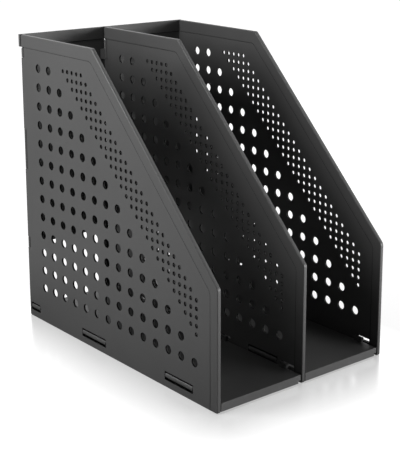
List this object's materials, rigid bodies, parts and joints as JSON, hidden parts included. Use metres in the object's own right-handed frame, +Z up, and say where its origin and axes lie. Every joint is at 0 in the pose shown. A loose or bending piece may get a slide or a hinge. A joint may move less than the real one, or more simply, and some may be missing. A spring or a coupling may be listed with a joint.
{
  "type": "vertical file holder",
  "caption": "Desktop file holder of dark moulded plastic with perforated, slant-fronted side panels, plain back panels and base plates that hinge so that it folds flat",
  "frame": {"origin": "on the surface it stands on, under the middle of the overall outline, which is the middle side panel's centre plane", "axes": "+X to the right seen from the open front, +Y to the back panels, +Z up"},
  "size_m": [0.1712, 0.2644, 0.249],
  "materials": {
    "left_side_panel": "fine-grained dark grey moulding",
    "middle_side_panel": "fine-grained dark grey moulding",
    "right_side_panel": "fine-grained dark grey moulding",
    "left_back_panel": "fine-grained dark grey moulding",
    "right_back_panel": "fine-grained dark grey moulding",
    "left_base_plate": "fine-grained dark grey moulding",
    "right_base_plate": "fine-grained dark grey moulding"
  },
  "bodies": {
    "middle_panel": {"middle_side_panel": "middle_side_panel"},
    "left_back": {"left_back_panel": "left_back_panel"},
    "left_panel": {"left_side_panel": "left_side_panel"},
    "right_back": {"right_back_panel": "right_back_panel"},
    "right_panel": {"right_side_panel": "right_side_panel"},
    "left_base": {"left_base_plate": "left_base_plate"},
    "right_base": {"right_base_plate": "right_base_plate"}
  },
  "joints": [
    {"name": "left_back_swing", "type": "hinge", "parent": "middle_panel", "child": "left_back", "pos_m": [0, 0.1277, 0], "axis": [0, 0, 1], "range_deg": [0, 76]},
    {"name": "left_panel_swing", "type": "hinge", "parent": "left_back", "child": "left_panel", "pos_m": [-0.084, 0.1277, 0], "axis": [0, 0, 1], "range_deg": [-76, 0]},
    {"name": "right_back_swing", "type": "hinge", "parent": "middle_panel", "child": "right_back", "pos_m": [0, 0.1277, 0], "axis": [0, 0, 1], "range_deg": [0, 76]},
    {"name": "right_panel_swing", "type": "hinge", "parent": "right_back", "child": "right_panel", "pos_m": [0.084, 0.1277, 0], "axis": [0, 0, 1], "range_deg": [-76, 0]},
    {"name": "left_base_fold", "type": "hinge", "parent": "left_panel", "child": "left_base", "pos_m": [-0.08315, 0, 0.0092], "axis": [0, -1, 0], "range_deg": [0, 87]},
    {"name": "right_base_fold", "type": "hinge", "parent": "middle_panel", "child": "right_base", "pos_m": [0.00085, 0, 0.0092], "axis": [0, -1, 0], "range_deg": [0, 87]}
  ],
  "couplings": [
    {"joint": "left_panel_swing", "follows": "left_back_swing", "ratio": -1},
    {"joint": "right_back_swing", "follows": "left_back_swing", "ratio": 1},
    {"joint": "right_panel_swing", "follows": "left_back_swing", "ratio": -1},
    {"joint": "left_base_fold", "follows": "left_back_swing", "ratio": 1.1447},
    {"joint": "right_base_fold", "follows": "left_back_swing", "ratio": 1.1447}
  ]
}
